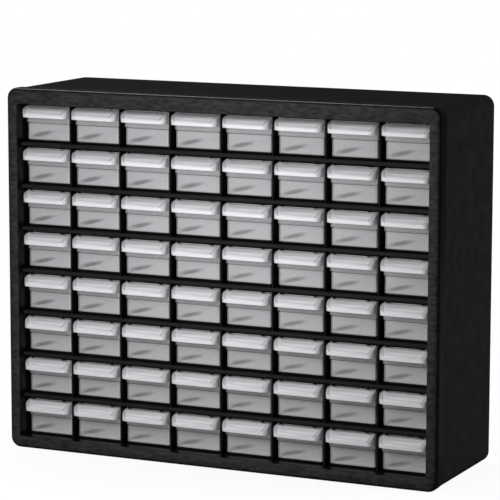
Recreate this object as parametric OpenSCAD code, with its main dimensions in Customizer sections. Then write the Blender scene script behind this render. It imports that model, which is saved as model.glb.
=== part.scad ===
// Parts bin cabinet: a moulded case with a grid of small clear drawers.
// Millimetres. X to the right, Y to the back, Z up. The origin is the middle of the base.

/* [Grid of cells] */
// Drawer columns
columns = 8; // [4:1:8]
// Drawer rows
rows = 8; // [4:1:8]
// Clear width of a cell, between two dividers
cell_w = 59; // [56:0.5:70]
// Clear height of a cell, from its floor to the rail above
cell_h = 42.8; // [38:0.2:50]
// Thickness of a divider panel
divider_t = 1.5; // [1.2:0.1:2.5]
// Thickness of a shelf plate
shelf_t = 2.2; // [1.6:0.1:3]
// Height of the rail along a shelf's front edge
rail_h = 4; // [3.5:0.5:6]
// Depth of that rail
rail_d = 4; // [3.5:0.5:5]
// Rail's front face behind the rim's front face
rail_setback = 10.5; // [9:0.5:12]
// Divider's front edge behind the rim's front face
divider_setback = 13; // [12.5:0.5:14]

/* [Case] */
// Depth of the cabinet over all
cabinet_d = 162; // [160:1:190]
// Wall of the case
case_wall = 2.5; // [2:0.1:3.5]
// Corner radius of the case, seen from the front
case_corner_r = 12; // [6:0.5:14]
// Rounding of the case's back edges
case_back_r = 3; // [1:0.5:3.5]
// How far the case lies inside the bezel's outline at the sides and the top
case_step = 0.8; // [0.4:0.1:1.5]
// Thickness of the ribs inside the case
rib_t = 2; // [1.6:0.2:3]
// Groove between the bezel's collar and the case
groove_w = 1; // [0.6:0.1:1.5]
// How far the case's tongue reaches into the collar
tongue_reach = 7; // [5:0.5:7]
// Length of the tongue's root behind the groove
tongue_root = 8; // [6:0.5:12]
// Thickness of the tongue
tongue_t = 2; // [1.6:0.1:2.6]

/* [Bezel] */
// Width of the rim at the sides
rim_side = 12.75; // [12:0.25:20]
// Height of the rim under the cells
rim_bottom = 13.5; // [12:0.5:20]
// Height of the rim over the cells
rim_top = 17.3; // [12:0.1:24]
// Depth of the bezel's collar
collar_d = 16.5; // [15.5:0.5:20]
// Wall of the bezel
bezel_wall = 2.5; // [2:0.1:3]
// Wall of the bezel's return round the opening
return_t = 2; // [1.6:0.1:2.5]
// Corner radius of the bezel seen from the front
bezel_corner_r = 11.5; // [8.5:0.5:12.5]
// Fillet round the front edge
bezel_fillet = 5; // [4:0.5:7.5]

/* [Stop tabs] */
// Width of a stop tab
tab_w = 3.6; // [3:0.2:5]
// Depth of a stop tab
tab_d = 2.5; // [2:0.1:3.4]
// How far a stop tab hangs under its rail
tab_h = 2.4; // [1.6:0.1:3]
// Distance of a tab from the middle of its cell
tab_offset = 19.4; // [14:0.2:22]

/* [Wall keyholes] */
// Distance of a keyhole from the cabinet's side
keyhole_inset = 50.8; // [30:0.2:80]
// Radius of the round part, which lets a screw head in
keyhole_head_r = 5; // [4:0.5:6]
// Radius of the narrow part, which holds the screw's shank
keyhole_slot_r = 2.5; // [2:0.25:3]
// Rise from the round part to the top of the narrow one
keyhole_rise = 11; // [9:0.5:13]

/* [Drawer] */
// Length of a drawer, from its lip to its back
drawer_l = 136.5; // [120:0.5:137]
// Wall of a drawer
drawer_wall = 1.5; // [1.2:0.1:1.8]
// Floor of a drawer
drawer_floor = 1.6; // [1.2:0.1:2.5]
// Chamfer along the drawer's upright edges
drawer_corner = 2.4; // [1.8:0.1:3]
// Chamfer along the drawer's lower edges
drawer_edge = 2; // [1.6:0.1:3]
// Height of the wider band round the top of the drawer
band_h = 18.7; // [17:0.1:22]
// How far the band stands out from the body
band_step = 0.9; // [0.5:0.1:1.2]
// How far the pull stands out from the drawer's front
pull_reach = 12.5; // [10:0.5:14]
// How far the pull's root lies under the drawer's rim
pull_root_drop = 0.8; // [0:0.1:1.5]
// How far out the pull's slope bends down
pull_bend = 9; // [6:0.5:9.5]
// Height lost from the drawer's rim to the top of the lip
pull_drop = 8.4; // [6:0.1:10]
// Height of the upright lip
lip_h = 3.8; // [3:0.1:5]
// Radius of the pull's corners seen from above
pull_corner_r = 6.6; // [4:0.1:9]
// Wall of the pull
pull_wall = 1.4; // [1.2:0.1:1.8]
// Lip's face behind the rim's front face
lip_setback = 5; // [1:0.5:6]
// Distance of the raised catch's ends from the drawer's sides
catch_inset = 4; // [3:0.5:6]

/* [Clearances] */
// Between a drawer and the divider on each side of it
side_gap = 2.4; // [0.5:0.1:3]
// Under a drawer, over its cell's floor
floor_gap = 0.2; // [0.1:0.05:0.3]
// Between a drawer's walls and the tabs over them
tab_gap = 0.5; // [0.3:0.1:0.8]
// Between the raised catch and the rail over it
catch_gap = 0.7; // [0.5:0.1:1]
// Between a drawer's back and its stop rib
stop_gap = 0.2; // [0.1:0.05:0.3]
// Round a shelf or divider in the slot that it crosses
slot_gap = 0.2; // [0.1:0.05:0.3]
// Between the tongue and the collar round it
tongue_gap = 0.2; // [0.1:0.05:0.3]

/* [Hidden] */
$fn = 48;
eps = 1;
corner_flats = 3;
// Places of the ribs over and under the rack, in pitches from the middle
rib_places = [-2, 0, 2];

pitch_x = cell_w + divider_t;
pitch_z = cell_h + rail_h;
grid_w = columns * cell_w + (columns - 1) * divider_t;
grid_h = rows * cell_h + (rows - 1) * rail_h;
cabinet_w = grid_w + 2 * rim_side;
cabinet_h = rim_bottom + grid_h + rim_top;
grid_top = rim_bottom + grid_h;

front_y = -cabinet_d / 2;
back_y = cabinet_d / 2;
rail_y = front_y + rail_setback;
shelf_y = rail_y + rail_d;
divider_y = front_y + divider_setback;
drawer_back_y = front_y + lip_setback + drawer_l;
stop_y = drawer_back_y + stop_gap;
cross_y = (shelf_y + stop_y) / 2;
drawer_front_y = front_y + lip_setback + pull_reach;
case_y = front_y + collar_d + groove_w;
tab_y = shelf_y - tab_d;

case_w = cabinet_w - 2 * case_step;
case_h = cabinet_h - case_step;
tongue_inset = bezel_wall + tongue_gap;
root_inset = case_wall / 2;

drawer_w = cell_w - 2 * side_gap;
drawer_h = cell_h - floor_gap - tab_gap - tab_h;
catch_w = drawer_w - 2 * catch_inset;
catch_top = cell_h - floor_gap - catch_gap;
box_l = drawer_l - pull_reach;
band_z = drawer_h - band_h;
keyhole_x = cabinet_w / 2 - keyhole_inset;
keyhole_z = row_z(1);

// With more drawers than this, the last of them share a node two by two
drawer_nodes = 55;
drawer_count = rows * columns;
pair_count = max(0, drawer_count - drawer_nodes);
single_count = drawer_count - 2 * pair_count;

function column_x(c) = (c - (columns - 1) / 2) * pitch_x;
function row_z(r) = rim_bottom + (rows - 1 - r) * pitch_z;
function row_of(n) = floor(n / columns);
function column_of(n) = n % columns;
function place_name(n) = str("r", row_of(n) + 1, "c", column_of(n) + 1);
function single_name(n) = str("drawer_", place_name(n));
function pair_first(k) = single_count + 2 * k;
function pair_name(k) = str("drawers_", place_name(pair_first(k)), "_", place_name(pair_first(k) + 1));

// ---------- shared shapes ----------

// Points of an arc of n equal steps
function arc(centre, r, from, to, n) =
    [for (i = [0 : n]) centre + r * [cos(from + (to - from) * i / n), sin(from + (to - from) * i / n)]];

// Lays a flat shape drawn in X and Z against the plane y and gives it a depth towards the back
module upright(y, depth) {
    translate([0, y + depth, 0])
        rotate([90, 0, 0])
            linear_extrude(depth) children();
}

// Lays a flat shape drawn in Y and Z across the width w
module across(w) {
    translate([-w / 2, 0, 0])
        rotate([90, 0, 90])
            linear_extrude(w) children();
}

// Rectangle with round corners, standing on the X axis
module round_rectangle(w, h, r) {
    translate([r - w / 2, 0]) square([w - 2 * r, h]);
    translate([-w / 2, r]) square([w, h - 2 * r]);
    for (side = [-1, 1], z = [r, h - r])
        translate([side * (w / 2 - r), z]) circle(r);
}

// The bezel's outline, drawn in by an inset
module bezel_outline(inset) {
    translate([0, inset])
        round_rectangle(cabinet_w - 2 * inset, cabinet_h - 2 * inset, bezel_corner_r - inset);
}

// The case's outline, drawn in by an inset
module case_outline(inset) {
    translate([0, inset])
        round_rectangle(case_w - 2 * inset, case_h - 2 * inset, case_corner_r - inset);
}

// Straight stretch of an edge, with its outer side down
// The child is the edge's section: u runs inwards from the outline, v runs to the back
module edge_side(length) {
    translate([-length / 2, 0, 0])
        rotate([90, 0, 90])
            linear_extrude(length)
                mirror([1, -1]) children();
}

// Quarter turn of an edge about the corner's centre, towards -X and -Z
module edge_corner(r, depth) {
    rotate([-90, 0, 0])
        rotate([0, 0, 90])
            rotate_extrude(angle = 90)
                intersection() {
                    translate([r, 0]) mirror([1, 0]) children();
                    square([r, depth]);
                }
}

// The edge all the way round a rectangle with round corners that stands on the X axis
module edge_ring(w, h, r, depth) {
    for (side = [0, 1])
        translate([0, 0, side * h]) mirror([0, 0, side]) {
            edge_side(w - 2 * r) children();
            for (end = [0, 1])
                mirror([end, 0, 0])
                    translate([r - w / 2, 0, r]) edge_corner(r, depth) children();
        }
    for (end = [0, 1])
        mirror([end, 0, 0])
            translate([-w / 2, 0, h / 2])
                rotate([0, 90, 0]) edge_side(h - 2 * r) children();
}

// Box from its lowest to its highest corner
module span(low, high) {
    translate(low) cube(high - low);
}

// ---------- case ----------

// Outer body of the case with its rounded back edges
module case_block() {
    flat_d = back_y - case_back_r - case_y;
    upright(case_y, flat_d) case_outline(0);
    upright(case_y, flat_d + case_back_r) case_outline(case_back_r);
    translate([0, back_y - case_back_r, 0])
        edge_ring(case_w, case_h, case_corner_r, case_back_r)
            intersection() {
                translate([case_back_r, 0]) circle(case_back_r);
                square(case_back_r);
            }
}

// Tongue round the mouth that the bezel's collar slides over
module case_tongue() {
    upright(case_y - groove_w - tongue_reach, groove_w + tongue_reach + tongue_root)
        difference() {
            bezel_outline(tongue_inset);
            bezel_outline(tongue_inset + tongue_t);
        }
    upright(case_y, tongue_root)
        difference() {
            case_outline(root_inset);
            bezel_outline(tongue_inset + tongue_t);
        }
}

// One rib behind each row: it stops that row's drawers at their bands and backs the dividers
module stop_ribs() {
    half = case_w / 2 - root_inset;
    rib_rise = floor_gap + band_z + (band_h - rib_t) / 2;
    for (r = [0 : rows - 1])
        translate([0, 0, row_z(r) + rib_rise])
            span([-half, stop_y, 0], [half, back_y - root_inset, rib_t]);
}

// Ribs along the case's walls that hold the rack of shelves and dividers
module rack_ribs() {
    rib_y = [case_y + tongue_root / 2, back_y - root_inset];
    side_in = grid_w / 2 + divider_t;
    side_out = case_w / 2 - root_inset;
    for (r = [1, rows - 2], side = [-1, 1])
        translate([side * (side_in + side_out) / 2, 0, row_z(r)])
            span([-(side_out - side_in) / 2, rib_y[0], 0], [(side_out - side_in) / 2, rib_y[1], rib_t]);
    under = [root_inset, rim_bottom - shelf_t];
    over = [grid_top + shelf_t, case_h - root_inset];
    for (x = rib_places * pitch_x, z = [under, over])
        span([x - rib_t / 2, rib_y[0], z[0]], [x + rib_t / 2, rib_y[1], z[1]]);
}

module keyhole() {
    slot_z = keyhole_rise - keyhole_slot_r;
    translate([0, back_y + eps, 0])
        rotate([90, 0, 0]) {
            cylinder(r = keyhole_head_r, h = case_wall + 2 * eps);
            translate([0, slot_z, 0]) cylinder(r = keyhole_slot_r, h = case_wall + 2 * eps);
            translate([-keyhole_slot_r, 0, 0]) cube([2 * keyhole_slot_r, slot_z, case_wall + 2 * eps]);
        }
}

module case_shell() {
    color("#1c1c1d") difference() {
        union() {
            difference() {
                case_block();
                upright(case_y - eps, back_y - case_wall - case_y + eps) case_outline(case_wall);
            }
            case_tongue();
            stop_ribs();
            rack_ribs();
        }
        for (side = [-1, 1])
            translate([side * keyhole_x, 0, keyhole_z]) keyhole();
    }
}

// ---------- bezel ----------

// Section of the rim's outer part: u runs inwards from the outline, v runs to the back
module rim_section() {
    difference() {
        union() {
            translate([bezel_fillet, bezel_fillet]) circle(bezel_fillet);
            translate([0, bezel_fillet]) square([bezel_fillet, collar_d - bezel_fillet]);
            translate([bezel_fillet, 0]) square([bezel_corner_r - bezel_fillet, bezel_fillet]);
        }
        translate([bezel_fillet, bezel_fillet]) circle(bezel_fillet - bezel_wall);
        translate([bezel_wall, bezel_fillet]) square([bezel_corner_r, collar_d]);
        translate([bezel_fillet, bezel_wall]) square([bezel_corner_r, collar_d]);
    }
}

module opening() {
    translate([-grid_w / 2, rim_bottom]) square([grid_w, grid_h]);
}

// Two stop tabs for each cell, under a rail or under the opening's top edge
module stop_tabs(z) {
    for (c = [0 : columns - 1], side = [-1, 1])
        translate([column_x(c) + side * tab_offset - tab_w / 2, tab_y, z - tab_h])
            cube([tab_w, tab_d, tab_h]);
}

module front_bezel() {
    color("#2b2b2c") {
        translate([0, front_y, 0])
            edge_ring(cabinet_w, cabinet_h, bezel_corner_r, collar_d) rim_section();
        upright(front_y, bezel_wall)
            difference() {
                translate([bezel_corner_r - cabinet_w / 2, bezel_corner_r])
                    square([cabinet_w - 2 * bezel_corner_r, cabinet_h - 2 * bezel_corner_r]);
                opening();
            }
        upright(front_y, shelf_y - front_y)
            difference() {
                translate([-grid_w / 2 - return_t, rim_bottom - return_t])
                    square([grid_w + 2 * return_t, grid_h + 2 * return_t]);
                opening();
            }
        stop_tabs(grid_top);
    }
}

// ---------- rack ----------

module front_rails() {
    color("#2b2b2c")
        for (r = [0 : rows - 2]) {
            span([-grid_w / 2, rail_y, row_z(r) - rail_h], [grid_w / 2, shelf_y, row_z(r)]);
            stop_tabs(row_z(r) - rail_h);
        }
}

// The shelves cross the dividers: each shelf is slotted behind the middle, each divider before it
module shelves() {
    slot_w = divider_t + 2 * slot_gap;
    outer = grid_w / 2 + divider_t;
    color("#202021") {
        for (r = [0 : rows - 2])
            difference() {
                span([-grid_w / 2, shelf_y, row_z(r) - shelf_t], [grid_w / 2, stop_y, row_z(r)]);
                for (c = [0 : columns - 2])
                    translate([column_x(c) + pitch_x / 2 - slot_w / 2, cross_y, row_z(r) - shelf_t - eps])
                        cube([slot_w, stop_y - cross_y + eps, shelf_t + 2 * eps]);
            }
        span([-outer, shelf_y, rim_bottom - shelf_t], [outer, stop_y, rim_bottom]);
        span([-outer, shelf_y, grid_top], [outer, stop_y, grid_top + shelf_t]);
    }
}

module dividers() {
    shelf_slot_low = -shelf_t - slot_gap;
    rail_slot_low = -rail_h - slot_gap;
    cut_w = divider_t + 2 * eps;
    color("#2f2f30") {
        for (c = [0 : columns - 2])
            translate([column_x(c) + pitch_x / 2 - divider_t / 2, 0, 0])
                difference() {
                    span([0, divider_y, rim_bottom], [divider_t, stop_y, grid_top]);
                    for (r = [0 : rows - 2])
                        translate([-eps, 0, row_z(r)]) {
                            span([0, divider_y - eps, shelf_slot_low], [cut_w, cross_y + slot_gap, slot_gap]);
                            span([0, divider_y - eps, rail_slot_low], [cut_w, shelf_y + slot_gap, slot_gap]);
                        }
                }
        for (side = [-1, 1])
            translate([side * (grid_w + divider_t) / 2, 0, 0])
                span([-divider_t / 2, shelf_y, rim_bottom], [divider_t / 2, stop_y, grid_top]);
    }
}

// ---------- drawer ----------
// A drawer is drawn with its front wall's face on the plane y = 0 and its underside on z = 0

// Box in the middle of X, from the plane y to y + l, with its upright corners and lower edges cut
module chamfered_tub(w, y, l, z, h, corner, edge) {
    intersection() {
        translate([0, 0, z]) linear_extrude(h)
            polygon([
                [corner - w / 2, y], [w / 2 - corner, y], [w / 2, y + corner], [w / 2, y + l - corner],
                [w / 2 - corner, y + l], [corner - w / 2, y + l], [-w / 2, y + l - corner], [-w / 2, y + corner]
            ]);
        upright(y, l)
            polygon([
                [edge - w / 2, z], [w / 2 - edge, z], [w / 2, z + edge],
                [w / 2, z + h], [-w / 2, z + h], [-w / 2, z + edge]
            ]);
        across(w)
            polygon([
                [y + edge, z], [y + l - edge, z], [y + l, z + edge],
                [y + l, z + h], [y, z + h], [y, z + edge]
            ]);
    }
}

// Body of the drawer with the wider band round its top, drawn in by a wall
module tub(inset) {
    inner_corner = drawer_corner - inset / 2;
    side = band_step + inset;
    chamfered_tub(
        drawer_w - 2 * side, side, box_l - 2 * side, inset, drawer_h,
        inner_corner, drawer_edge - inset / 2
    );
    chamfered_tub(
        drawer_w - 2 * inset, inset, box_l - 2 * inset, band_z + inset / 2, drawer_h,
        inner_corner, band_step
    );
}

// Side outline of the pull, from its root at the wall to its lower edge
module pull_side(inset, root) {
    top = drawer_h - pull_root_drop - inset;
    lip_y = inset - pull_reach;
    lip_top = drawer_h - pull_drop - inset / 2;
    low = drawer_h - pull_drop - lip_h - inset;
    bend = [inset - pull_bend, (top + lip_top) / 2];
    polygon([[root, low], [root, top], [0, top], bend, [lip_y, lip_top], [lip_y, low]]);
}

// The pull seen from above, with round front corners made of flats
module pull_plan(inset, root) {
    r = pull_corner_r - inset;
    half = drawer_w / 2 - inset;
    lip_y = inset - pull_reach;
    polygon(concat(
        [[-half, root]],
        arc([r - half, lip_y + r], r, 180, 270, corner_flats),
        arc([half - r, lip_y + r], r, 270, 360, corner_flats),
        [[half, root]]
    ));
}

module pull(inset, root) {
    intersection() {
        across(drawer_w - 2 * inset) pull_side(inset, root);
        linear_extrude(drawer_h) pull_plan(inset, root);
    }
}

module drawer() {
    catch_low = drawer_h - drawer_wall;
    color("#c9ccce", 0.6) difference() {
        union() {
            intersection() {
                tub(0);
                translate([-drawer_w / 2, 0, 0]) cube([drawer_w, box_l, drawer_h]);
            }
            pull(0, drawer_corner);
            span([-catch_w / 2, box_l - drawer_wall, catch_low], [catch_w / 2, box_l, catch_top]);
        }
        difference() {
            tub(drawer_wall);
            span([-drawer_w / 2, 0, 0], [drawer_w / 2, box_l, drawer_floor]);
        }
        pull(pull_wall, 0);
    }
}

module placed_drawer(n) {
    translate([column_x(column_of(n)), drawer_front_y, row_z(row_of(n)) + floor_gap]) drawer();
}

case_shell();
front_bezel();
front_rails();
shelves();
dividers();
for (n = [0 : single_count - 1])
    placed_drawer(n);
for (k = [0 : 1 : pair_count - 1])
    union() {
        placed_drawer(pair_first(k));
        placed_drawer(pair_first(k) + 1);
    }
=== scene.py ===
"""Looks of the parts bin cabinet: satin black mouldings and milky clear drawers, in a white studio."""

import math

import bmesh
import bpy
from mathutils import Matrix, Vector


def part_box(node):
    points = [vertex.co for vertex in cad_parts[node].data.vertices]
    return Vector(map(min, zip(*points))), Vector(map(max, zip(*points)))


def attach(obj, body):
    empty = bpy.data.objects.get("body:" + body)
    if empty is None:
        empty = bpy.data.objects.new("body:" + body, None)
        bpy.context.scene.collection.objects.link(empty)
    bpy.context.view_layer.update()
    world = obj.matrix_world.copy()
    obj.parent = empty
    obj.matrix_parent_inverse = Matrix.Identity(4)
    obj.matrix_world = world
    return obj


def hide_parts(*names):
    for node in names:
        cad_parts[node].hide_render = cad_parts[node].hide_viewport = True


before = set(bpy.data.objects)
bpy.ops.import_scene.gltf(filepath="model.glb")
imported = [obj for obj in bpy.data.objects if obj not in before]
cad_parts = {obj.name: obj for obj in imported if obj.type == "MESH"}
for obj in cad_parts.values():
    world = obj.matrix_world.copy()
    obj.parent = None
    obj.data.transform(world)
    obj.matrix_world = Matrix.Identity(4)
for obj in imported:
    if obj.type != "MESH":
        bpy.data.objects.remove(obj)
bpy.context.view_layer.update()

MM = 0.001
ROOT = "cabinet"

# ---------- sizes, in millimetres, as in the part's own source ----------

# The grid of cells, and the rails with their stop tabs, which lie to both sides of each cell's middle
COLUMNS, ROWS = 8, 8
CELL_W = 59.0
DIVIDER_T = 1.5
RAIL_H = 4.0
TAB_W, TAB_D, TAB_H = 3.6, 2.5, 2.4
TAB_OFFSET = 19.4

# The bezel: outer corners, rounded front edge, wall, collar, return walls round the opening, and rim widths
BEZEL_CORNER_R, BEZEL_FILLET, BEZEL_WALL = 11.5, 5.0, 2.5
COLLAR_D = 16.5
RETURN_T, RETURN_D = 2.0, 14.5
RIM_SIDE, RIM_BOTTOM, RIM_TOP = 12.75, 13.5, 17.3

# A drawer: the tub, the wider band round its top, the pull, and the raised catch on its back
DRAWER_H = 39.7
DRAWER_WALL, DRAWER_FLOOR = 1.5, 1.6
BAND_H, BAND_STEP = 18.7, 0.9
PULL_REACH, PULL_ROOT_DROP, PULL_DROP, LIP_H = 12.5, 0.8, 8.4, 3.8
PULL_CORNER_R, PULL_WALL = 6.6, 1.4
CATCH_INSET = 4.0

# ---------- fine edges and steps, in millimetres ----------

# Number of steps round a small edge, the tub's corners and lower edges, the bezel's corners, its front edge
# outside and inside, a rail's edges, and the front corners of a pull
SMALL_STEPS = 2
CORNER_STEPS = 5
BEZEL_STEPS, FILLET_STEPS, INNER_FILLET_STEPS = 8, 10, 5
RAIL_STEPS = 4
PULL_STEPS = 8

# Edge radius of rails and tabs, and how far a tab reaches up into what it hangs from
RAIL_EDGE_R = 0.7
TAB_EDGE_R, TAB_ROOT = 0.4, 0.2

# The bezel: chamfer at its back, and corners and edge of its opening
BEZEL_BACK_EDGE = 0.4
OPENING_CORNER_R = 0.8
OPENING_EDGE, OPENING_EDGE_MIDDLE = 0.5, 0.15

# The tub's outside: its upright corners and lower edge, which are a little rounder than the solid's, least
# corner radius of its underside, where the painted shade line and the wall's bend start below the band, how
# far the step is rounded in and out, and where the step's lower edge and the full band start
DRAWER_CORNER_R, DRAWER_EDGE_R = 3.0, 2.4
FOOT_LEAST_R = 0.8
DARK_LINE_H, STEP_BEND_H = 0.9, 0.3
STEP_SOFT = 0.2
STEP_EDGE_H, BAND_START_H = 0.1, 0.4

# The tub's rim: where the painted shade line starts below it, and its round edge with the point half-way
# round
RIM_LINE_H = 1.0
RIM_EDGE, RIM_EDGE_MIDDLE = 0.4, 0.12

# The tub's inside: corner radii of its walls, of the rim's edge and at the floor, upper and lower end of the
# step's ramp, height of the painted shade at the foot of the side walls, and radius at the floor
INSIDE_CORNER_R, INSIDE_EDGE_R, INSIDE_LEAST_R = 1.6, 1.7, 0.3
RAMP_TOP_H, RAMP_LOW_H = 1.2, 0.4
SHADE_H = 4.0
INSIDE_FILLET = 1.4

# The pull: how far it reaches back into the tub's wall, how far in the crease between its slope and its wing
# lies at the root, how much less than the corner radius it then runs in, and the radius of the edges
PULL_ROOT = 0.4
CREASE_INSET, CREASE_TRIM = 1.0, 0.5
PULL_EDGE_R = 0.4
CATCH_EDGE_R = 0.4

# The pull's fall: the share that is a straight slope, and the power of the bend that is the rest
STRAIGHT_SHARE, BEND_POWER = 0.35, 2.6

# Rows of points on the pull behind its round corners: the first few of this many even steps along its reach
REACH_STEPS, REACH_ROWS = 12, 5

# ---------- mesh helpers ----------

CREASE_ANGLE = math.radians(35)
BEVEL_ANGLE = math.radians(40)


def ring(u0, u1, v0, v1, radius, steps=CORNER_STEPS):
    """Points round a rectangle with round corners, counter-clockwise."""
    points = []
    corners = ((u1 - radius, v1 - radius, 0), (u0 + radius, v1 - radius, 90),
               (u0 + radius, v0 + radius, 180), (u1 - radius, v0 + radius, 270))
    for cu, cv, start in corners:
        for i in range(steps + 1):
            a = math.radians(start + 90 * i / steps)
            points.append((cu + radius * math.cos(a), cv + radius * math.sin(a)))
    return points


def quarter_round(radius, steps):
    """Points along a quarter round: distances that grow from 0 to the radius, and that fall from it to 0."""
    points = []
    for i in range(steps + 1):
        a = math.pi / 2 * i / steps
        points.append((radius * (1 - math.cos(a)), radius * (1 - math.sin(a))))
    return points


def loft(bm, rings, closed=False, slots=None, caps=(0, 0)):
    """Skins a list of rings of 3-D points, with a cap at each end unless it is closed on itself.

    slots gives a face's material slot, from the number of its gap between two rings and its place along it.
    """
    rows = [[bm.verts.new(Vector(p) * MM) for p in r] for r in rings]
    gaps = len(rows) if closed else len(rows) - 1
    for i in range(gaps):
        a, b = rows[i], rows[(i + 1) % len(rows)]
        for k in range(len(a)):
            n = (k + 1) % len(a)
            face = bm.faces.new((a[k], a[n], b[n], b[k]))
            face.material_index = slots(i, k) if slots else 0
    if not closed:
        bm.faces.new(list(reversed(rows[0]))).material_index = caps[0]
        bm.faces.new(rows[-1]).material_index = caps[1]


def block(bm, low, high, radius, slot=0):
    """Box with rounded edges, from its lowest to its highest corner."""
    made = bmesh.ops.create_cube(bm, size=1)["verts"]
    size = [h - l for l, h in zip(low, high)]
    centre = [(h + l) / 2 for l, h in zip(low, high)]
    for v in made:
        v.co = Vector([c + s * x for c, s, x in zip(centre, size, v.co)]) * MM
    edges = list({e for v in made for e in v.link_edges})
    faces = {f for v in made for f in v.link_faces}
    out = bmesh.ops.bevel(
        bm, geom=edges, offset=radius * MM, segments=SMALL_STEPS, affect="EDGES", profile=0.5)
    for f in faces.union(out["faces"]):
        if f.is_valid:
            f.material_index = slot


def finish_mesh(bm, name):
    """Turns a bmesh into a mesh datablock with smooth shading and sharp creases."""
    bmesh.ops.recalc_face_normals(bm, faces=bm.faces)
    for f in bm.faces:
        f.smooth = True
    for e in bm.edges:
        if len(e.link_faces) == 2 and e.calc_face_angle(0) > CREASE_ANGLE:
            e.smooth = False
    mesh = bpy.data.meshes.new(name)
    bm.to_mesh(mesh)
    bm.free()
    return mesh


def piece(name, mesh, materials, body, node):
    """Puts a mesh into the scene as a piece that rides on a body and replaces a node."""
    obj = bpy.data.objects.new(name, mesh)
    bpy.context.scene.collection.objects.link(obj)
    if not mesh.materials:
        for m in materials:
            mesh.materials.append(m)
    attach(obj, body)
    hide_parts(node)
    return obj


# ---------- material helpers ----------

# The range in which nearly all values of a noise lie
NOISE_LOW, NOISE_HIGH = 0.3, 0.7

# Pebbled grain of the black mouldings: scale and detail of its noise, and strength and height of its relief
GRAIN_SCALE, GRAIN_DETAIL = 900, 3
GRAIN_STRENGTH, GRAIN_HEIGHT = 0.35, 0.00006

# Cloudy mottling of black mouldings, with the part of its range that carries the two tones
CLOUD_SCALE, CLOUD_DETAIL, CLOUD_ROUGH = 55, 5, 0.6
CLOUD_LOW, CLOUD_HIGH = 0.35, 0.7

# The same for the finer streaks on their front faces, which run from side to side
STREAK_SCALE, STREAK_DETAIL, STREAK_ROUGH, STREAK_STRETCH = 300, 4, 0.6, (0.35, 1, 1)
STREAK_LOW, STREAK_HIGH = 0.35, 0.65

# A front face keeps its tone over this share of the depth at which the sides have their darker, painted shade
FACE_SHARE = 0.3

# Cloudiness of the milky mouldings, and their relief, whose scale is a multiple of the cloudiness's
MILK_SCALE, MILK_DETAIL, MILK_ROUGH = 60, 3, 0.5
RELIEF_DETAIL, RELIEF_STRENGTH, RELIEF_HEIGHT = 2, 0.15, 0.00004
RELIEF_RATIO = 2

# How much smoother and rougher than stated black and milky mouldings are in places
BLACK_SMOOTHER, BLACK_ROUGHER = 0.05, 0.06
MILK_SMOOTHER, MILK_ROUGHER = 0.04, 0.05

# The painted shade smear has its full shade within the first and fades out at the second of these shares of
# its half size
SMEAR_CORE, SMEAR_END = 0.3, 1.2


def principled(name, **sockets):
    """New material, with its nodes, links and shader. An underscore in a socket's name stands for a space."""
    mat = bpy.data.materials.new(name)
    mat.use_nodes = True
    shader = mat.node_tree.nodes["Principled BSDF"]
    for key, value in sockets.items():
        shader.inputs[key.replace("_", " ")].default_value = value
    return mat, mat.node_tree.nodes, mat.node_tree.links, shader


def noise(nodes, links, scale, detail, rough=0.5, stretch=(1, 1, 1)):
    """Noise in the piece's own coordinates."""
    coord = nodes.new("ShaderNodeTexCoord")
    place = nodes.new("ShaderNodeMapping")
    place.inputs["Scale"].default_value = stretch
    tex = nodes.new("ShaderNodeTexNoise")
    tex.inputs["Scale"].default_value = scale
    tex.inputs["Detail"].default_value = detail
    tex.inputs["Roughness"].default_value = rough
    links.new(coord.outputs["Object"], place.inputs["Vector"])
    links.new(place.outputs["Vector"], tex.inputs["Vector"])
    return tex.outputs["Fac"]


def ramp(nodes, links, source, low, high, colors):
    """Colour that runs from the first to the second as the source goes from low to high."""
    r = nodes.new("ShaderNodeValToRGB")
    r.color_ramp.elements[0].position = low
    r.color_ramp.elements[1].position = high
    for e, c in zip(r.color_ramp.elements, colors):
        e.color = (*c, 1)
    links.new(source, r.inputs["Fac"])
    return r.outputs["Color"]


def between(nodes, links, source, start, end, low, high):
    """Value that runs from low to high as the source goes from start to end."""
    m = nodes.new("ShaderNodeMapRange")
    m.inputs["From Min"].default_value = start
    m.inputs["From Max"].default_value = end
    m.inputs["To Min"].default_value = low
    m.inputs["To Max"].default_value = high
    links.new(source, m.inputs["Value"])
    return m.outputs["Result"]


def spread(nodes, links, source, low, high):
    """Value that runs from low to high over the range of a noise."""
    return between(nodes, links, source, NOISE_LOW, NOISE_HIGH, low, high)


def bumped(nodes, links, shader, height, strength, distance):
    """Gives a shader the relief of a height, which is distance in metres at full strength."""
    bump = nodes.new("ShaderNodeBump")
    bump.inputs["Strength"].default_value = strength
    bump.inputs["Distance"].default_value = distance
    links.new(height, bump.inputs["Height"])
    links.new(bump.outputs["Normal"], shader.inputs["Normal"])


def grained(nodes, links, shader):
    """Gives a shader the fine pebbled grain of the black mouldings."""
    bumped(nodes, links, shader, noise(nodes, links, GRAIN_SCALE, GRAIN_DETAIL), GRAIN_STRENGTH, GRAIN_HEIGHT)


def black_plastic(name, dark, light, rough, gloss):
    """Satin black moulding with a fine pebbled grain and faint cloudy mottling."""
    mat, nodes, links, shader = principled(name, Specular_IOR_Level=gloss)
    cloud = noise(nodes, links, CLOUD_SCALE, CLOUD_DETAIL, CLOUD_ROUGH)
    links.new(ramp(nodes, links, cloud, CLOUD_LOW, CLOUD_HIGH, (dark, light)), shader.inputs["Base Color"])
    roughness = spread(nodes, links, cloud, rough - BLACK_SMOOTHER, rough + BLACK_ROUGHER)
    links.new(roughness, shader.inputs["Roughness"])
    grained(nodes, links, shader)
    return mat


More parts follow.
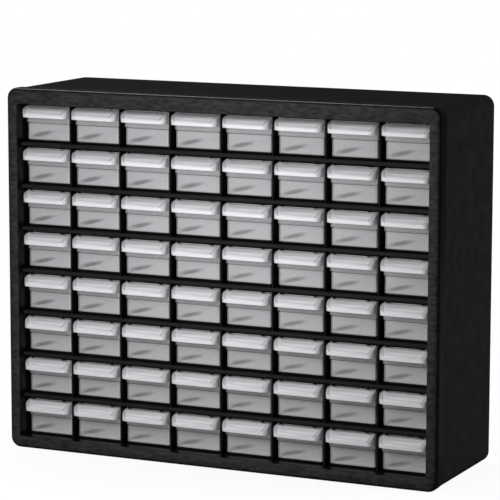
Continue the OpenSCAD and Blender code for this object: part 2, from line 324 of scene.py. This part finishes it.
def faced_plastic(name, shaded_deep, dark, light, rough_face, rough_deep, gloss, face_y, depth):
    """Moulding with a streaky front face, which starts at face_y, and sides behind it of one darker tone,
    painted shade.
    """
    mat, nodes, links, shader = principled(name, Specular_IOR_Level=gloss)
    coord = nodes.new("ShaderNodeTexCoord")
    parts = nodes.new("ShaderNodeSeparateXYZ")
    links.new(coord.outputs["Object"], parts.inputs["Vector"])
    shaded_behind = between(nodes, links, parts.outputs["Y"], face_y + FACE_SHARE * depth, face_y + depth, 0.0, 1.0)
    streaks = noise(nodes, links, STREAK_SCALE, STREAK_DETAIL, STREAK_ROUGH, STREAK_STRETCH)
    tone = nodes.new("ShaderNodeMix")
    tone.data_type = "RGBA"
    colours = [s for s in tone.inputs if s.type == "RGBA"]
    links.new(shaded_behind, tone.inputs["Factor"])
    links.new(ramp(nodes, links, streaks, STREAK_LOW, STREAK_HIGH, (dark, light)), colours[0])
    colours[1].default_value = (*shaded_deep, 1)
    links.new([s for s in tone.outputs if s.type == "RGBA"][0], shader.inputs["Base Color"])
    links.new(between(nodes, links, shaded_behind, 0.0, 1.0, rough_face, rough_deep), shader.inputs["Roughness"])
    grained(nodes, links, shader)
    return mat


def milky_plastic(name, alpha, dark, light, rough, scale=MILK_SCALE, stretch=(1, 1, 1), relief=RELIEF_HEIGHT):
    """Milky clear moulding: part of the light scatters on it and part passes straight through."""
    mat, nodes, links, shader = principled(name, Alpha=alpha, Specular_IOR_Level=0.5)
    cloud = noise(nodes, links, scale, MILK_DETAIL, MILK_ROUGH, stretch)
    links.new(ramp(nodes, links, cloud, NOISE_LOW, NOISE_HIGH, (dark, light)), shader.inputs["Base Color"])
    roughness = spread(nodes, links, cloud, rough - MILK_SMOOTHER, rough + MILK_ROUGHER)
    links.new(roughness, shader.inputs["Roughness"])
    ripples = noise(nodes, links, RELIEF_RATIO * scale, RELIEF_DETAIL, MILK_ROUGH, stretch)
    bumped(nodes, links, shader, ripples, RELIEF_STRENGTH, relief)
    return mat


def painted_shade_smear(mat, centre, length, breadth, tilt, shade):
    """Adds one soft, long dark smear to a moulding's colour: painted shade of the drawer's inside seen
    through it. Sizes in metres.
    """
    nodes, links = mat.node_tree.nodes, mat.node_tree.links
    shader = nodes["Principled BSDF"]
    coord = nodes.new("ShaderNodeTexCoord")
    place = nodes.new("ShaderNodeMapping")
    place.vector_type = "TEXTURE"
    place.inputs["Location"].default_value = centre
    place.inputs["Rotation"].default_value = (0, tilt, 0)
    place.inputs["Scale"].default_value = (length / 2, 1, breadth / 2)
    distance = nodes.new("ShaderNodeVectorMath")
    distance.operation = "LENGTH"
    links.new(coord.outputs["Object"], place.inputs["Vector"])
    links.new(place.outputs["Vector"], distance.inputs[0])
    share = nodes.new("ShaderNodeMapRange")
    share.interpolation_type = "SMOOTHSTEP"
    share.inputs["From Min"].default_value = SMEAR_CORE
    share.inputs["From Max"].default_value = SMEAR_END
    share.inputs["To Min"].default_value = shade
    share.inputs["To Max"].default_value = 1.0
    links.new(distance.outputs["Value"], share.inputs["Value"])
    scaled = nodes.new("ShaderNodeVectorMath")
    scaled.operation = "SCALE"
    links.new(shader.inputs["Base Color"].links[0].from_socket, scaled.inputs[0])
    links.new(share.outputs["Result"], scaled.inputs["Scale"])
    links.new(scaled.outputs["Vector"], shader.inputs["Base Color"])


# ---------- black materials ----------

# Near black of the parts and sides that lie back between the drawers: painted shade
SHADE_BLACK = (0.002, 0.002, 0.002)

# Darker fillet, collar and returns behind the face: partly their own smooth finish, partly painted shade
bezel_black = faced_plastic(
    "bezel_black", shaded_deep=(0.003, 0.003, 0.0031), dark=(0.007, 0.007, 0.0072), light=(0.028, 0.028, 0.0285),
    rough_face=0.62, rough_deep=0.28, gloss=0.18, face_y=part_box("front_bezel")[0].y, depth=0.0012)
case_black = black_plastic(
    "case_black", dark=(0.008, 0.008, 0.0084), light=(0.012, 0.012, 0.0126), rough=0.60, gloss=0.04)
# Rails: the front face keeps its tone, the top, underside and back are painted shade
rail_black = faced_plastic(
    "rail_black", shaded_deep=SHADE_BLACK, dark=(0.009, 0.009, 0.0092), light=(0.013, 0.013, 0.0133),
    rough_face=0.55, rough_deep=0.60, gloss=0.08, face_y=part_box("front_rails")[0].y, depth=0.0006)
# Shelves are painted shade black, darker than the case, as they lie back in the cells
shelf_shaded_black = black_plastic(
    "shelf_shaded_black", dark=SHADE_BLACK, light=(0.003, 0.003, 0.003), rough=0.60, gloss=0.10)
# Dividers: the front edge keeps its tone, the sides between the drawers are painted shade
divider_black = faced_plastic(
    "divider_black", shaded_deep=SHADE_BLACK, dark=(0.005, 0.005, 0.0052), light=(0.007, 0.007, 0.0073),
    rough_face=0.60, rough_deep=0.60, gloss=0.08, face_y=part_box("dividers")[0].y, depth=0.0010)

# ---------- milky materials of the drawers ----------

# The two tones of the walls, and the streaks of the pull, which run from side to side: a relief, with lighter
# and darker tone that stands partly for painted highlight streaks
MILK_DARK, MILK_LIGHT = (0.84, 0.84, 0.87), (0.90, 0.90, 0.93)
LINES_SCALE, LINES_STRETCH = 380, (0.06, 1, 1)

drawer_clear = milky_plastic("drawer_clear", 0.24, MILK_DARK, MILK_LIGHT, 0.38)
# The front wall's copy of the plastic carries painted shade: a dark smear low down, towards its left
drawer_front_shaded = milky_plastic("drawer_front_shaded", 0.27, MILK_DARK, MILK_LIGHT, 0.38)
painted_shade_smear(drawer_front_shaded, centre=(-0.008, 0, 0.0088), length=0.034, breadth=0.0058, tilt=math.radians(-13),
        shade=0.50)
# Denser and paler: a painted highlight along the tub's rim edge and on the catch
drawer_edge = milky_plastic("drawer_edge", 0.85, (0.88, 0.88, 0.90), (0.93, 0.93, 0.95), 0.25)
# Denser and paler than the walls: painted light on the floor inside the drawer
drawer_floor = milky_plastic("drawer_floor", 0.80, (0.90, 0.90, 0.92), (0.95, 0.95, 0.97), 0.45)
# Nearly black and thin: painted shade on the tub's lower edges and underside, in lines below the step and rim
drawer_painted_shade = milky_plastic("drawer_painted_shade", 0.30, (0.02, 0.02, 0.02), (0.04, 0.04, 0.04), 0.40)
# The pull's slope, lip and wings are denser than the walls: painted light, so that the pull reads brighter
drawer_slope_lit = milky_plastic(
    "drawer_slope_lit", 0.62, (0.68, 0.68, 0.71), (0.95, 0.95, 0.97), 0.28, LINES_SCALE, LINES_STRETCH, 0.0002)
drawer_lip_lit = milky_plastic(
    "drawer_lip_lit", 0.58, (0.76, 0.76, 0.79), (0.96, 0.96, 0.98), 0.38, LINES_SCALE, LINES_STRETCH)
# Denser and paler: a painted highlight down the tub's right front corner
drawer_corner = milky_plastic("drawer_corner", 0.40, (0.86, 0.86, 0.89), (0.93, 0.93, 0.95), 0.30)
drawer_wing_lit = milky_plastic(
    "drawer_wing_lit", 0.38, (0.70, 0.70, 0.73), (0.90, 0.90, 0.93), 0.25, LINES_SCALE, LINES_STRETCH)
DRAWER_SLOTS = [drawer_clear, drawer_edge, drawer_floor, drawer_painted_shade, drawer_slope_lit, drawer_lip_lit, drawer_corner,
                drawer_wing_lit, drawer_front_shaded]
WALL, EDGE_HIGHLIGHT, LIT_FLOOR, PAINTED_SHADE, SLOPE, LIP, CORNER_HIGHLIGHT, WING, SHADED_FRONT = range(len(DRAWER_SLOTS))

# ---------- bezel ----------

low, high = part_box("front_bezel")
half_w = high.x / MM
height = high.z / MM
front_y = low.y / MM
open_w = half_w - RIM_SIDE
open_top = height - RIM_TOP


def bezel_ring(inset, depth):
    """Outline of the bezel, drawn in by inset, at a depth behind its face."""
    radius = BEZEL_CORNER_R - inset
    flat = ring(inset - half_w, half_w - inset, inset, height - inset, radius, BEZEL_STEPS)
    return [(u, front_y + depth, v) for u, v in flat]


def opening_ring(out, depth):
    """Outline of the bezel's opening, widened by out, at a depth behind its face."""
    flat = ring(-open_w - out, open_w + out, RIM_BOTTOM - out, open_top + out, OPENING_CORNER_R, BEZEL_STEPS)
    return [(u, front_y + depth, v) for u, v in flat]


def stop_tabs(bm, z, y_back):
    """Two tabs over each column, which hang down from height z and end at y_back."""
    for c in range(COLUMNS):
        for side in (-1, 1):
            x = (c - (COLUMNS - 1) / 2) * (CELL_W + DIVIDER_T) + side * TAB_OFFSET
            tab_low = (x - TAB_W / 2, y_back - TAB_D, z - TAB_H)
            tab_high = (x + TAB_W / 2, y_back, z + TAB_ROOT)
            block(bm, tab_low, tab_high, TAB_EDGE_R)


# One closed skin: the collar's back, its outside, the front edge, the rim's face, the return wall, the inside
bm = bmesh.new()
rings = [bezel_ring(BEZEL_WALL, COLLAR_D), bezel_ring(BEZEL_BACK_EDGE, COLLAR_D)]
rings += [bezel_ring(0, COLLAR_D - BEZEL_BACK_EDGE)]
rings += [bezel_ring(i, d) for i, d in quarter_round(BEZEL_FILLET, FILLET_STEPS)]
rings += [opening_ring(OPENING_EDGE, 0), opening_ring(OPENING_EDGE_MIDDLE, OPENING_EDGE_MIDDLE)]
rings += [opening_ring(0, OPENING_EDGE), opening_ring(0, RETURN_D)]
rings += [opening_ring(RETURN_T, RETURN_D), opening_ring(RETURN_T, BEZEL_WALL)]
inner_fillet = reversed(quarter_round(BEZEL_FILLET - BEZEL_WALL, INNER_FILLET_STEPS))
rings += [bezel_ring(BEZEL_WALL + i, BEZEL_WALL + d) for i, d in inner_fillet]
loft(bm, rings, closed=True)
stop_tabs(bm, open_top, front_y + RETURN_D)
piece("bezel", finish_mesh(bm, "bezel"), [bezel_black], ROOT, "front_bezel")

# ---------- rails ----------

low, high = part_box("front_rails")
rail_front = low.y / MM
rail_back = high.y / MM
pitch_z = (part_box("drawer_r1c1")[0].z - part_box("drawer_r2c1")[0].z) / MM
rail_top = high.z / MM

bm = bmesh.new()
for r in range(ROWS - 1):
    z = rail_top - r * pitch_z
    profile = ring(rail_front, rail_back, z - RAIL_H, z, RAIL_EDGE_R, RAIL_STEPS)
    loft(bm, [[(x, u, v) for u, v in profile] for x in (low.x / MM, high.x / MM)])
    stop_tabs(bm, z - RAIL_H, rail_back)
piece("rails", finish_mesh(bm, "rails"), [rail_black], ROOT, "front_rails")

# ---------- drawers ----------

low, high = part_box("drawer_r1c1")
drawer_w = (high.x - low.x) / MM
catch_top = (high.z - low.z) / MM
box_l = (high.y - low.y) / MM - PULL_REACH
half = drawer_w / 2

# Numbers of the straight faces in a gap between two rings of the tub, and of the two faces of its right front
# corner that carry a painted highlight
LEFT_SIDE, FRONT_SIDE, RIGHT_SIDE = [(CORNER_STEPS + 1) * corner - 1 for corner in (2, 3, 4)]
PAINTED_GLINT_FACES = (FRONT_SIDE + 2, FRONT_SIDE + 3)

# Slot of a gap that has painted shade on the two side walls, and is wall elsewhere
SHADE = -1


def tub_ring(inset, z, radius):
    """Outline of the tub, drawn in by inset, at height z."""
    return [(u, v, z) for u, v in ring(inset - half, half - inset, inset, box_l - inset, radius)]


def tub(bm):
    """Open box with a wider band round its top, as one skin from the underside up and in to the floor."""
    band_z = DRAWER_H - BAND_H
    inside = DRAWER_WALL + BAND_STEP
    corner_r = DRAWER_CORNER_R
    rings, slots = [], []

    def add(inset, z, radius, slot=WALL):
        """Adds a ring, with the slot of the gap that follows it."""
        rings.append(tub_ring(inset, z, radius))
        slots.append(slot)

    def slot_of(gap, face):
        """Material slot of a face."""
        if slots[gap] == SHADE:
            return PAINTED_SHADE if face in (LEFT_SIDE, RIGHT_SIDE) else WALL
        # Two faces of the right front corner get the painted highlight
        if slots[gap] == WALL and face in PAINTED_GLINT_FACES:
            return CORNER_HIGHLIGHT
        # The front wall gets the copy with the painted shade smear
        if slots[gap] == WALL and face == FRONT_SIDE:
            return SHADED_FRONT
        return slots[gap]

    # From the underside up: the lower edge, the line below the band's step and the line below the rim get
    # painted shade
    for i, (z, drawn) in enumerate(quarter_round(DRAWER_EDGE_R, CORNER_STEPS)):
        add(BAND_STEP + drawn, z, max(corner_r - drawn, FOOT_LEAST_R), PAINTED_SHADE if i < CORNER_STEPS else WALL)
    add(BAND_STEP, band_z - DARK_LINE_H, corner_r, PAINTED_SHADE)
    add(BAND_STEP, band_z - STEP_BEND_H, corner_r, PAINTED_SHADE)
    add(BAND_STEP - STEP_SOFT, band_z, corner_r, PAINTED_SHADE)
    add(STEP_SOFT, band_z + STEP_EDGE_H, corner_r)
    add(0, band_z + BAND_START_H, corner_r)
    add(0, DRAWER_H - RIM_LINE_H, corner_r, PAINTED_SHADE)
    # The rim's round edge, outside and in, gets the painted highlight
    add(0, DRAWER_H - RIM_EDGE, corner_r, EDGE_HIGHLIGHT)
    add(RIM_EDGE_MIDDLE, DRAWER_H - RIM_EDGE_MIDDLE, corner_r, EDGE_HIGHLIGHT)
    add(RIM_EDGE, DRAWER_H, corner_r - RIM_EDGE, EDGE_HIGHLIGHT)
    add(DRAWER_WALL - RIM_EDGE, DRAWER_H, INSIDE_CORNER_R + RIM_EDGE, EDGE_HIGHLIGHT)
    add(DRAWER_WALL - RIM_EDGE_MIDDLE, DRAWER_H - RIM_EDGE_MIDDLE, INSIDE_EDGE_R, EDGE_HIGHLIGHT)
    add(DRAWER_WALL, DRAWER_H - RIM_EDGE, INSIDE_CORNER_R)
    add(DRAWER_WALL, band_z + RAMP_TOP_H, INSIDE_CORNER_R)
    add(inside, band_z + RAMP_LOW_H, INSIDE_CORNER_R)
    add(inside, DRAWER_FLOOR + SHADE_H, INSIDE_CORNER_R, SHADE)
    for drawn, z in quarter_round(INSIDE_FILLET, CORNER_STEPS):
        add(inside + drawn, DRAWER_FLOOR + z, max(INSIDE_CORNER_R - drawn, INSIDE_LEAST_R), PAINTED_SHADE)
    # The underside gets the painted shade, the floor inside the painted light
    loft(bm, rings, slots=slot_of, caps=(PAINTED_SHADE, LIT_FLOOR))


def pull_stations():
    """Distances in front of the tub at which the pull has a row of points, from its root to its lip."""
    turns = [math.pi / 2 * i / PULL_STEPS for i in range(PULL_STEPS + 1)]
    arc = [PULL_REACH - PULL_CORNER_R + PULL_CORNER_R * math.sin(a) for a in turns]
    even = [PULL_REACH * k / REACH_STEPS for k in range(1, REACH_ROWS + 1)]
    return sorted({round(f, 4) for f in [-PULL_ROOT, *arc, *even]})


def pull_half_width(forward):
    """Half width of the pull, whose front corners are round when seen from above."""
    past = forward - (PULL_REACH - PULL_CORNER_R)
    if past <= 0:
        return half
    return half - PULL_CORNER_R + math.sqrt(max(PULL_CORNER_R ** 2 - past ** 2, 0))


def pull_height(forward):
    """Top of the pull: a shallow slope that bends down towards the lip."""
    t = max(forward, 0) / PULL_REACH
    fall = STRAIGHT_SHARE * t + (1 - STRAIGHT_SHARE) * t ** BEND_POWER
    return DRAWER_H - PULL_ROOT_DROP - (PULL_DROP - PULL_ROOT_DROP) * fall


def pull_skin():
    """Skin of the pull without thickness: its slope, a wing at each side, and the lip down from its edge."""
    skin = bmesh.new()
    rows = []
    for f in pull_stations():
        w, z = pull_half_width(f), pull_height(f)
        crease = half - CREASE_INSET - (PULL_CORNER_R - CREASE_TRIM) * max(f, 0) / PULL_REACH
        rows.append([skin.verts.new(Vector((x, -f, z)) * MM) for x in (-w, -crease, crease, w)])
    for a, b in zip(rows, rows[1:]):
        for k, slot in enumerate((WING, SLOPE, WING)):
            skin.faces.new((a[k], b[k], b[k + 1], a[k + 1])).material_index = slot
    left = [row[0] for row in rows]
    right = [row[-1] for row in rows]
    edge = left + rows[-1][1:-1] + list(reversed(right))
    low_z = DRAWER_H - PULL_DROP - LIP_H
    under = [skin.verts.new((v.co.x, v.co.y, low_z * MM)) for v in edge]
    for i in range(len(edge) - 1):
        skin.faces.new((edge[i], under[i], under[i + 1], edge[i + 1])).material_index = LIP
    bmesh.ops.recalc_face_normals(skin, faces=skin.faces)
    # The first face, at the root, has to face up, so that the skin is thickened downwards
    skin.faces.ensure_lookup_table()
    if skin.faces[0].normal.z < 0:
        bmesh.ops.reverse_faces(skin, faces=skin.faces)
    mesh = bpy.data.meshes.new("pull_skin")
    skin.to_mesh(mesh)
    skin.free()
    return mesh


def pull(bm):
    """Hooded finger pull: its skin, thickened inwards and with rounded edges."""
    mesh = pull_skin()
    for m in DRAWER_SLOTS:
        mesh.materials.append(m)
    obj = bpy.data.objects.new("pull_skin", mesh)
    bpy.context.scene.collection.objects.link(obj)
    solid = obj.modifiers.new("wall", "SOLIDIFY")
    solid.thickness = PULL_WALL * MM
    solid.offset = -1
    solid.use_even_offset = True
    round_off = obj.modifiers.new("edges", "BEVEL")
    round_off.width = PULL_EDGE_R * MM
    round_off.segments = SMALL_STEPS
    round_off.limit_method = "ANGLE"
    round_off.angle_limit = BEVEL_ANGLE
    done = bpy.data.meshes.new_from_object(obj.evaluated_get(bpy.context.evaluated_depsgraph_get()))
    bm.from_mesh(done)
    bpy.data.objects.remove(obj)
    bpy.data.meshes.remove(done)
    bpy.data.meshes.remove(mesh)


bm = bmesh.new()
tub(bm)
pull(bm)
catch_low = (CATCH_INSET - half, box_l - DRAWER_WALL, DRAWER_H - DRAWER_WALL)
block(bm, catch_low, (half - CATCH_INSET, box_l, catch_top), CATCH_EDGE_R, EDGE_HIGHLIGHT)
drawer_mesh = finish_mesh(bm, "drawer")

# A node that is clearly wider than one drawer holds two of them
PAIR_RATIO = 1.5

for node in sorted(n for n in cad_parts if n.startswith("drawer")):
    low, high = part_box(node)
    places = [low.x + half * MM]
    if high.x - low.x > PAIR_RATIO * drawer_w * MM:
        places.append(high.x - half * MM)
    for k, x in enumerate(places):
        obj = piece(f"fine_{node}_{k + 1}", drawer_mesh, DRAWER_SLOTS, node + "_body", node)
        obj.location = (x, low.y + PULL_REACH * MM, low.z)

# ---------- nodes that keep their own shape ----------

for node, material in (("case_shell", case_black), ("shelves", shelf_shaded_black), ("dividers", divider_black)):
    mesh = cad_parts[node].data
    mesh.materials.clear()
    mesh.materials.append(material)

# ---------- studio ----------

WHITE = (1, 1, 1, 1)

# Strength of the world's light on the object, and the share of the white surround that gloss shows
SKY = 0.03
GLOSS_SHARE = 0.02

# The floor: half its size and its number of faces along a side, the grey that lights the object, the white
# paper that shows the object's shadow, the grey's roughness, the paper's share at the object, and the
# distance at which it ends
FLOOR_REACH, FLOOR_FACES = 40, 8
FLOOR_GREY, FLOOR_PAPER, FLOOR_ROUGH = 0.09, 0.95, 0.9
SHADOW_SHARE = 0.10
SHADOW_REACH = 0.7


def grey(value):
    """Opaque grey of a value."""
    return (value, value, value, 1)


def area_light(name, place, towards, size, power, size_y=None, mirrored=True):
    """Soft box that stays out of the picture itself and, where it isn't mirrored, out of the gloss too."""
    data = bpy.data.lights.new(name, "AREA")
    data.energy = power
    data.size = size
    if size_y:
        data.shape = "RECTANGLE"
        data.size_y = size_y
    obj = bpy.data.objects.new(name, data)
    obj.location = place
    obj.rotation_euler = (Vector(towards) - Vector(place)).to_track_quat("-Z", "Y").to_euler()
    obj.visible_camera = False
    obj.visible_glossy = mirrored
    bpy.context.scene.collection.objects.link(obj)


def math_node(nodes, links, operation, first, second, clamp=False):
    """Result of an operation on two sockets, or on a socket and a number."""
    m = nodes.new("ShaderNodeMath")
    m.operation = operation
    m.use_clamp = clamp
    for socket, value in zip(m.inputs, (first, second)):
        if isinstance(value, float):
            socket.default_value = value
        else:
            links.new(value, socket)
    return m.outputs[0]


def seen(nodes, links):
    """1 for what the camera sees, directly or through glass, and a small share for what gloss shows."""
    path = nodes.new("ShaderNodeLightPath")
    camera_ray, clear_ray = path.outputs["Is Camera Ray"], path.outputs["Is Transmission Ray"]
    direct = math_node(nodes, links, "ADD", camera_ray, clear_ray, True)
    gloss = math_node(nodes, links, "MULTIPLY", path.outputs["Is Glossy Ray"], GLOSS_SHARE)
    return math_node(nodes, links, "ADD", direct, gloss, True)


def mixed(nodes, links, share, first, second):
    """Shader that goes over from the first to the second with the share."""
    mix = nodes.new("ShaderNodeMixShader")
    links.new(share, mix.inputs["Fac"])
    links.new(first, mix.inputs[1])
    links.new(second, mix.inputs[2])
    return mix.outputs["Shader"]


def floor_material():
    """Grey for the light that it gives the object, and white where it is seen, with some paper near it."""
    mat, nodes, links, shader = principled("floor_white", Base_Color=grey(FLOOR_GREY), Roughness=FLOOR_ROUGH)
    paper = nodes.new("ShaderNodeBsdfDiffuse")
    paper.inputs["Color"].default_value = grey(FLOOR_PAPER)
    glow = nodes.new("ShaderNodeEmission")
    coord = nodes.new("ShaderNodeTexCoord")
    distance = nodes.new("ShaderNodeVectorMath")
    distance.operation = "LENGTH"
    links.new(coord.outputs["Object"], distance.inputs[0])
    near = between(nodes, links, distance.outputs["Value"], 0.0, SHADOW_REACH, SHADOW_SHARE, 0.0)
    white = mixed(nodes, links, near, glow.outputs["Emission"], paper.outputs["BSDF"])
    surface = mixed(nodes, links, seen(nodes, links), shader.outputs["BSDF"], white)
    links.new(surface, nodes["Material Output"].inputs["Surface"])
    return mat


def studio_world():
    """World that lights the object faintly and is white where it is seen."""
    world = bpy.data.worlds.new("studio")
    world.use_nodes = True
    nodes, links = world.node_tree.nodes, world.node_tree.links
    sky = nodes["Background"]
    sky.inputs["Color"].default_value = WHITE
    sky.inputs["Strength"].default_value = SKY
    white = nodes.new("ShaderNodeBackground")
    white.inputs["Color"].default_value = WHITE
    surface = mixed(nodes, links, seen(nodes, links), sky.outputs["Background"], white.outputs["Background"])
    links.new(surface, nodes["World Output"].inputs["Surface"])
    return world


bm = bmesh.new()
bmesh.ops.create_grid(bm, x_segments=FLOOR_FACES, y_segments=FLOOR_FACES, size=FLOOR_REACH)
floor = bpy.data.objects.new("floor", finish_mesh(bm, "floor"))
bpy.context.scene.collection.objects.link(floor)
floor.data.materials.append(floor_material())

bpy.context.scene.world = studio_world()

area_light("key", place=(-0.14, -0.82, 0.68), towards=(0, 0, 0.25), size=0.4, power=4.3)
area_light("near", place=(0.04, -0.40, 0.30), towards=(0.04, -0.07, 0.28), size=0.30, size_y=0.12, power=0.56,
           mirrored=False)
area_light("softbox", place=(-0.19, -0.62, 0.12), towards=(0.06, -0.07, 0.22), size=0.22, size_y=0.12,
           power=1.15)
area_light("side", place=(1.6, 0.45, 0.5), towards=(0.25, 0, 0.2), size=0.6, power=25, mirrored=False)
area_light("back", place=(-1.5, 1.7, 0.6), towards=(0, 0, 0.2), size=0.8, power=52, mirrored=False)
area_light("top", place=(-0.6, 0.35, 1.5), towards=(-0.6, -0.08, 0.4), size=1.0, size_y=0.1, power=9)

# ---------- camera ----------

# Place in metres, turns in radians, focal length and width of the picture in pixels, and sensor width in
# millimetres
CAMERA_PLACE = (1.20432, -2.58218, 0.66841)
YAW, PITCH, ROLL = 0.43555, 0.15358, 0.00186
FOCAL_PIXELS, IMAGE_PIXELS, SENSOR = 2647.0, 500, 36

ahead = Vector((-math.sin(YAW) * math.cos(PITCH), math.cos(YAW) * math.cos(PITCH), -math.sin(PITCH)))
level = Vector((math.cos(YAW), math.sin(YAW), 0))
above = level.cross(ahead)
right = level * math.cos(ROLL) + above * math.sin(ROLL)
up = above * math.cos(ROLL) - level * math.sin(ROLL)
data = bpy.data.cameras.new("camera")
data.sensor_width = SENSOR
data.lens = FOCAL_PIXELS / IMAGE_PIXELS * SENSOR
camera = bpy.data.objects.new("camera", data)
camera.location = CAMERA_PLACE
camera.rotation_euler = Matrix((right, up, -ahead)).transposed().to_euler()
bpy.context.scene.collection.objects.link(camera)
bpy.context.scene.camera = camera
bpy.context.scene.view_settings.view_transform = "Standard"
